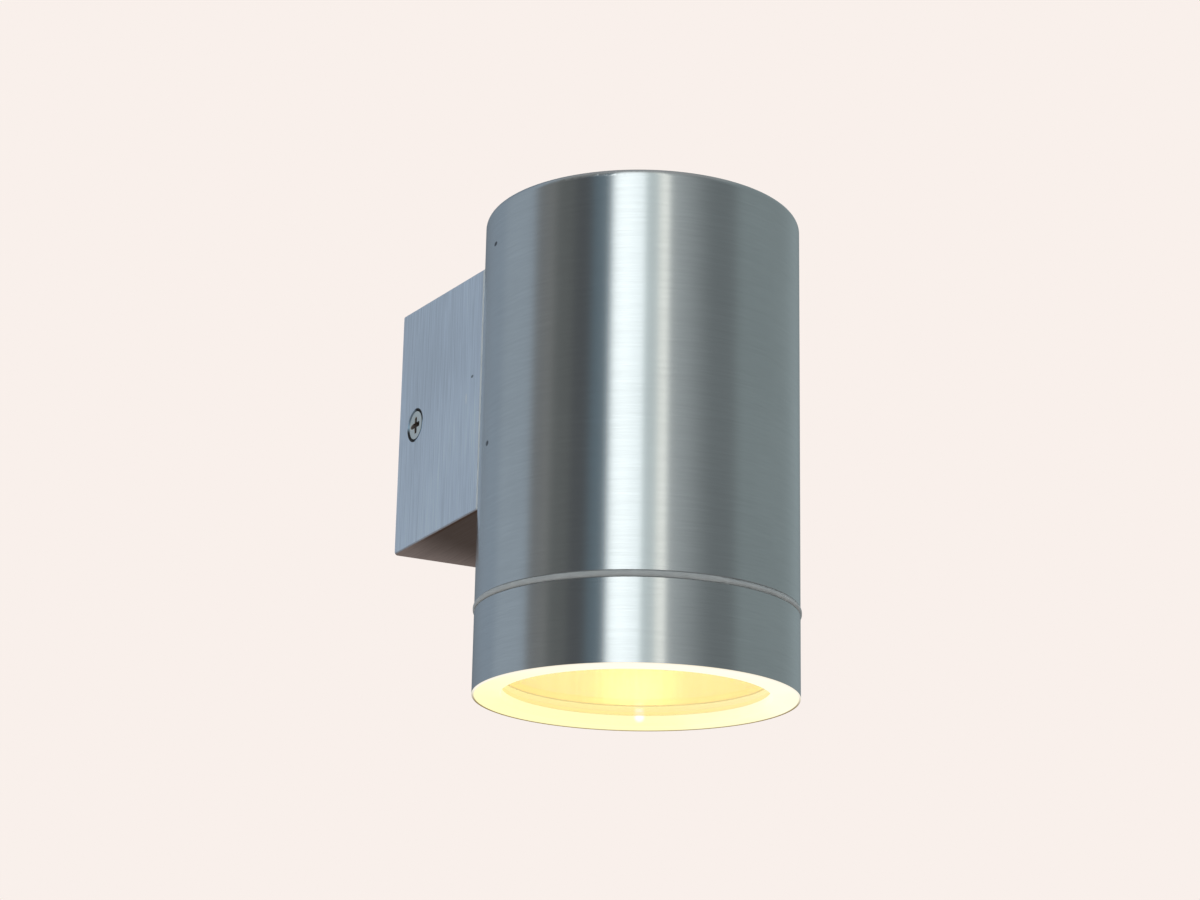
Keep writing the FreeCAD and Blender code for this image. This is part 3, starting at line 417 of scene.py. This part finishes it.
def brushed_ring():
    """The ring: brushed outside, with painted lamplight (warm colours and a glow) on its bore and
    its gasket's pocket, and a painted glow on the thin lip of its mouth, bright on the near side
    and dim on the far side as painted shade."""
    material, net = brushed_round("brushed_ring", 0.25, seed=7.3)
    x, y, z = net.place()
    radius = net.axis_distance(x, y)
    # The bore and the gasket's pocket get painted lamplight; the lip and the bottom edge get a
    # painted glow.
    bore = net.product(net.fall(radius, BORE_R, BORE_R + 2 * FADE),
                       net.rise(z, GLASS_TOP, GLASS_TOP + 2 * FADE))
    pocket = net.product(net.fall(radius, TUBE_R - LIP_WALL / 2, TUBE_R - LIP_WALL / 4),
                         net.rise(z, LIP_TOP + LIP_FADE, LIP_TOP + 2 * LIP_FADE),
                         net.fall(z, POCKET_TOP, POCKET_TOP + POCKET_FADE))
    lit = net.largest(bore, pocket)
    inner = net.product(net.fall(radius, TUBE_R - LIP_WALL, TUBE_R - LIP_WALL / 2),
                        net.fall(z, LIP_TOP, LIP_TOP + LIP_FADE))
    edge = net.fall(z, RING_BOTTOM + EDGE_ROUND, RING_BOTTOM + EDGE_ROUND * 1.5)
    lip = net.largest(inner, edge)

    # Painted lamplight in streaks: warm base colours and a glow on the bore and pocket; the lip
    # has a tan tint.
    streaks = net.vary(net.noise((900.0, 900.0, 60.0)), 0.0, 1.0)
    base = net.mix(lit, net.source("Base Color"), net.mix(streaks, *BORE_PAINTED_LAMPLIGHT))
    net.surface("Base Color", net.mix(lip, base, LIP_TINT))
    rough = net.maths("MULTIPLY_ADD", lit, 0.05, net.source("Roughness"))
    net.surface("Roughness", net.maths("MULTIPLY_ADD", lip, 0.4, rough))
    # The lip's painted glow, dimming to painted shade on the far side.
    far = net.rise(net.along_mouth(FAR_SIDE), LIP_SHADE_START, LIP_SHADE_FULL)
    lip_glow = net.mix(far, LIP_NEAR_GLOW, LIP_FAR_GLOW)
    net.surface("Emission Color", net.mix(lip, net.mix(streaks, *BORE_GLOWS), lip_glow))
    net.surface("Emission Strength", net.largest(net.product(lit, BORE_STRENGTH), lip))
    return material


def brushed_box():
    """The box: brushed up and down its sides, and away from the wall on its top and underside,
    with a painted highlight on its front edge, dark countersinks with painted shade in their
    gaps, and a painted warm reflection and painted shade on its underside."""
    material, net = new_material("brushed_box")
    net.surface("Metallic", 1.0)
    net.surface("Anisotropic", 0.8)
    normal = net.geometry("Normal")
    facing_up = net.split(normal)[2]
    level = net.maths("GREATER_THAN", net.maths("ABSOLUTE", facing_up), 0.7)
    upright = net.minus(1.0, level)
    below = net.fall(facing_up, -0.8, -0.6)
    x, y, z = place = net.place()
    from_axis = net.axis_distance(x, y)
    # The front edge, where a highlight is painted.
    edge = net.product(upright, net.fall(from_axis, TUBE_R + FRONT_EDGE,
                                         TUBE_R + FRONT_EDGE * 1.4))
    shade = net.product(below, net.fall(from_axis, SHADE_FULL, SHADE_END))

    from_screw = net.minus(y, SCREW_Y)
    spread = net.length(from_screw, z)
    across = net.maths("MULTIPLY_ADD", z, SINK_ACROSS_Z, net.product(from_screw, SINK_ACROSS_Y))
    sideways = net.maths("ABSOLUTE", net.maths("DIVIDE", across, spread))
    # Two crescents of painted shade, in the gaps round the screw heads.
    sink = net.fall(spread, SINK_R - FADE, SINK_R)
    crescents = net.product(net.fall(spread, SINK_R, SINK_R + FADE),
                            net.rise(sideways, 0.55, 0.85))

    fine = net.maths("ADD", net.product(upright, net.noise((3600.0, 3600.0, 70.0))),
                     net.product(level, net.noise((3600.0, 70.0, 3600.0))))
    cloud = net.noise((55.0, 55.0, 30.0), roughness=0.55)
    tone = net.product(net.vary(fine, 0.86, 1.10, reach=0.25),
                       net.vary(cloud, 0.95, 1.05),
                       net.ramp(z, -BOX_TONE_Z, BOX_TONE_Z, 1.06, 0.95))
    metal = net.vector_maths("SCALE", BOX_METAL, scale=tone)
    # Painted warm reflection on the underside.
    metal = net.mix(below, metal, net.mix(1.0, metal, UNDER_WARM_REFLECTION, "MULTIPLY"))
    # Painted shade on the underside near the tube and in the countersinks' gaps, a pit, a
    # scratch, and the front edge's painted highlight.
    for mask, colour in ((shade, UNDER_SHADE), (sink, SINK_METAL), (crescents, SINK_DARK),
                         (net.spot(place, *BOX_PIT), BOX_PIT_DARK),
                         (net.spot(place, *BOX_SCRATCH), WHITE), (edge, FRONT_EDGE_HIGHLIGHT)):
        metal = net.mix(mask, metal, colour)
    net.surface("Base Color", metal)
    satin = net.vary(fine, BOX_ROUGHNESS * 1.1, BOX_ROUGHNESS * 0.92)
    net.surface("Roughness", net.maths("MULTIPLY_ADD", edge, 0.3, satin))
    net.across_grain(net.joined(Y=level, Z=upright))
    relief = net.bump(fine, BOX_GRAIN_DEPTH)
    # The front edge's normal is tipped towards the room, under its painted highlight.
    forward = net.joined(Y=net.product(edge, FRONT_EDGE_LEAN))
    tipped_normal = net.vector_maths("NORMALIZE", net.vector_maths("ADD", normal, forward))
    net.feed(relief.inputs["Normal"], tipped_normal)
    return material


# ------------------------------------------------------------------ plain metal and plastic

def uneven_skin(name, colour, roughness, mottling, depth, hollows, roughness_range):
    """A finish with a fine uneven skin, darker in its hollows: (material, net)."""
    material, net = new_material(name)
    skin = net.noise((mottling,) * 3)
    dark = tuple(hollows * part for part in colour)
    net.surface("Base Color", net.mix(skin, dark, colour))
    net.surface("Roughness", net.vary(skin, *(roughness * part for part in roughness_range)))
    net.bump(skin, depth)
    return material, net


def plain_metal(name, colour, roughness, mottling=900.0, depth=0.000006):
    """Plated or turned small metal parts."""
    material, net = uneven_skin(name, colour, roughness, mottling, depth, 0.86, (1.2, 0.85))
    net.surface("Metallic", 1.0)
    return material


def plain_solid(name, colour, roughness, mottling=700.0, depth=0.00001, hollows=0.9):
    """Rubber, plastic or ceramic."""
    return uneven_skin(name, colour, roughness, mottling, depth, hollows, (1.1, 0.9))[0]


def screw_metal():
    """Stainless heads, matt, with their cross recesses, and a patch along one arm, dark brown and
    not metallic.
    """
    material, net = new_material("stainless_screws")
    x, y, z = place = net.place()
    deep = net.fall(net.maths("ABSOLUTE", x), HEAD_FACE - 1.5 * FADE, HEAD_FACE - 0.5 * FADE)
    spread = net.length(net.minus(y, SCREW_Y), z)
    recess = net.product(deep, net.fall(spread, RECESS_R, RECESS_R + FADE))
    recess = net.largest(recess, net.spot(place, *RECESS_ARM))
    skin = net.noise((1100.0,) * 3)
    net.surface("Base Color", net.mix(recess, net.mix(skin, *SCREW_METALS), RECESS_DARK))
    net.surface("Metallic", net.minus(1.0, recess))
    net.surface("Roughness", 0.5)
    net.bump(skin, 0.000008)
    return material


def striped_insulation():
    """The earth wire's insulation in its two colours."""
    material, net = new_material("green_insulation")
    wave = net.nodes.new("ShaderNodeTexWave")
    wave.wave_type = "BANDS"
    wave.bands_direction = "DIAGONAL"
    wave.inputs["Scale"].default_value = STRIPE_SCALE
    net.feed(wave.inputs["Vector"], net.coordinates())
    net.surface("Base Color", net.mix(net.rise(wave.outputs["Fac"], 0.45, 0.55), GREEN, YELLOW))
    net.surface("Roughness", 0.38)
    return material


# ------------------------------------------------------------------ silicone, glass and lamp

def seam_silicone():
    """Grey silicone, a little see-through at its rim."""
    material, net = new_material("seam_silicone")
    net.surface("Base Color", net.mix(net.noise((500.0, 500.0, 1200.0)), *SEAM_GREYS))
    net.surface("Roughness", 0.38)
    net.surface("Subsurface Weight", 0.25)
    net.surface("Subsurface Radius", SEAM_DEPTH)
    return material


def lit_silicone():
    """Milky silicone with painted lamplight as its glow: whiter at the near right of its face,
    yellower in its seat behind the glass, with a painted glare of the lamp on the far side."""
    material, net = new_material("lens_silicone")
    z = net.place()[2]
    height = net.minus(z, GLASS_BOTTOM)
    far = net.along_mouth(FAR_SIDE)
    right = net.along_mouth(RIGHT_SIDE)
    cloud = net.noise((60.0, 60.0, 90.0), 2.0, 0.5)
    white = net.maths("MULTIPLY_ADD", right, WHITE_PER_RIGHT, net.product(cloud, WHITE_CLOUDS))
    white = net.maths("MULTIPLY_ADD", far, WHITE_PER_FAR, white, clamp=True)
    face = net.mix(white, FACE_YELLOW, FACE_WHITE)
    ripple = net.noise((240.0,) * 3)
    wavy_height = net.maths("MULTIPLY_ADD", ripple, SEAT_RIPPLE, height)
    seat = net.mix(net.rise(wavy_height, *SEAT_LINE), SEAT_LOW, SEAT_HIGH)
    behind = net.rise(z, GLASS_BOTTOM - FADE, GLASS_BOTTOM + FADE)
    glare = net.largest(*(net.ellipse(right, height, centre, GLARE_HALF, GLARE_CORE)
                          for centre in GLARES))
    glare = net.product(glare, net.maths("GREATER_THAN", far, 0.0))
    # Painted lamplight as a glow, with a painted glare.
    net.surface("Emission Color", net.mix(glare, net.mix(behind, face, seat), GLARE_WHITE))
    net.surface("Emission Strength", 1.0)
    net.surface("Base Color", net.mix(cloud, *GASKET_SKINS))
    net.surface("Roughness", 0.45)
    return material


def clear_glass():
    """The glass disc, with faint smears."""
    material, net = new_material("clear_glass")
    net.surface("Base Color", GLASS_TINT)
    net.surface("Transmission Weight", 1.0)
    net.surface("IOR", 1.5)
    smears = net.noise((120.0,) * 3, 2.0, 0.5)
    net.surface("Roughness", net.ramp(smears, 0.4, 0.7, 0.0, 0.05))
    return material


def lamp_front():
    """The lamp's frosted cover, lit warm white, brightest over its middle."""
    material, net = new_material("lamp_front")
    x, y, _ = net.place()
    heart = net.fall(net.axis_distance(x, y), HEART_FULL, HEART_END)
    net.surface("Base Color", net.mix(net.noise((400.0,) * 3), *FROST))
    net.surface("Roughness", 0.3)
    net.surface("Emission Color", net.mix(heart, *LAMP_GLOWS))
    net.surface("Emission Strength", net.maths("MULTIPLY_ADD", heart, HEART_GAIN, 1.0))
    return material


def lit_board():
    """The lamp's light source: yellow coating on its board."""
    material, net = new_material("led")
    net.surface("Base Color", net.mix(net.noise((900.0,) * 3, 2.0, 0.5), *BOARD_YELLOWS))
    net.surface("Roughness", 0.4)
    return material


def paint_all():
    """Gives every CAD node the finish of its slot in the record."""
    finishes = {
        "brushed_tube": brushed_tube(),
        "brushed_ring": brushed_ring(),
        "brushed_box": brushed_box(),
        "cap_metal": brushed_round("cap_metal", 0.32, seed=3.1)[0],
        "stainless_screws": screw_metal(),
        "green_insulation": striped_insulation(),
        "seam_silicone": seam_silicone(),
        "lens_silicone": lit_silicone(),
        "clear_glass": clear_glass(),
        "lamp_front": lamp_front(),
        "led": lit_board(),
    }
    finishes.update({row[0]: plain_metal(*row) for row in PLAIN_METALS})
    finishes.update({row[0]: plain_solid(*row) for row in PLAIN_SOLIDS})
    for made in frame["record"]["subparts"]:
        for holder in frame["nodes"][made["node"]].material_slots:
            holder.material = finishes[made["material_slot"]]


# ------------------------------------------------------------------ light, floor and camera

def panels_colour(net, azimuth):
    """The sum of all panels over the dark room."""
    total = ROOM_DARK
    for start, end, soft_start, soft_end, colour in PANELS:
        for wrap in (-FULL_TURN, 0.0, FULL_TURN):
            low, high = start + wrap, end + wrap
            if high + soft_end < -HALF_TURN or low - soft_start > HALF_TURN:
                continue
            share = net.product(net.rise(azimuth, low - soft_start / 2, low + soft_start / 2),
                                net.fall(azimuth, high - soft_end / 2, high + soft_end / 2))
            total = net.mix(1.0, total, net.mix(share, BLACK, colour), "ADD")
    return total


def studio_light():
    """World: pale where it is looked at, plain white for soft light, panels for the metal."""
    world = bpy.data.worlds.new("studio")
    bpy.context.scene.world = world
    world.use_nodes = True
    world.node_tree.nodes.clear()
    net = Net(world.node_tree)
    x, y, height = net.split(net.coordinates("Generated"))
    azimuth = net.maths("DEGREES", net.maths("ARCTAN2", x, net.product(y, -1.0)))
    panels = panels_colour(net, azimuth)
    panels = net.mix(net.rise(height, 0.75, 0.95), panels, CEILING)
    panels = net.mix(net.fall(height, -0.25, -0.05), panels, UNDER_DARK)
    plain = net.mix(net.rise(height, -0.5, 0.5), PLAIN_LOW, PLAIN_HIGH)
    ray = net.nodes.new("ShaderNodeLightPath").outputs
    lit = net.mix(ray["Is Diffuse Ray"], panels, plain)
    seen = net.largest(ray["Is Camera Ray"], ray["Is Transmission Ray"])
    background = net.nodes.new("ShaderNodeBackground")
    net.feed(background.inputs["Color"], net.mix(seen, lit, BACKDROP))
    out = net.nodes.new("ShaderNodeOutputWorld")
    net.feed(out.inputs["Surface"], background.outputs[0])


def pale_floor():
    """A wide pale floor below the light; it fades into the backdrop."""
    mesh = bpy.data.meshes.new("floor")
    h = FLOOR_HALF
    corners = [(-h, -h, FLOOR_Z), (h, -h, FLOOR_Z), (h, h, FLOOR_Z), (-h, h, FLOOR_Z)]
    mesh.from_pydata(corners, [], [(0, 1, 2, 3)])
    floor = bpy.data.objects.new("floor", mesh)
    bpy.context.collection.objects.link(floor)
    material, net = new_material("floor")
    net.surface("Base Color", net.mix(net.noise((6.0,) * 3, roughness=0.5), *FLOOR_TINTS))
    net.surface("Roughness", 0.8)
    net.surface("Emission Color", BACKDROP)
    seen = net.nodes.new("ShaderNodeLightPath").outputs["Is Camera Ray"]
    net.surface("Emission Strength", net.product(seen, FLOOR_GLOW))
    mesh.materials.append(material)
    floor.visible_glossy = False


def photo_camera():
    """The photo's camera: looks along its yaw and pitch, then is rolled about its view."""
    data = bpy.data.cameras.new("photo_camera")
    data.sensor_width = SENSOR_WIDTH
    data.lens = FOCAL_PX * SENSOR_WIDTH / FRAME_WIDTH_PX
    data.clip_start = CLIP_START
    data.clip_end = CLIP_END
    camera = bpy.data.objects.new("photo_camera", data)
    bpy.context.collection.objects.link(camera)
    sy, cy = math.sin(CAMERA_YAW), math.cos(CAMERA_YAW)
    sp, cp = math.sin(CAMERA_PITCH), math.cos(CAMERA_PITCH)
    sr, cr = math.sin(CAMERA_ROLL), math.cos(CAMERA_ROLL)
    ahead = Vector((sy * cp, cy * cp, sp))
    level = Vector((cy, -sy, 0.0))
    upward = level.cross(ahead)
    right = level * cr + upward * sr
    top = upward * cr - level * sr
    turn = Matrix((right, top, -ahead)).transposed().to_4x4()
    camera.matrix_world = Matrix.Translation(AXIS + CAMERA_FROM_AXIS) @ turn
    bpy.context.scene.camera = camera


bpy.context.scene.view_settings.view_transform = "Standard"
photo_camera()
studio_light()
pale_floor()
paint_all()
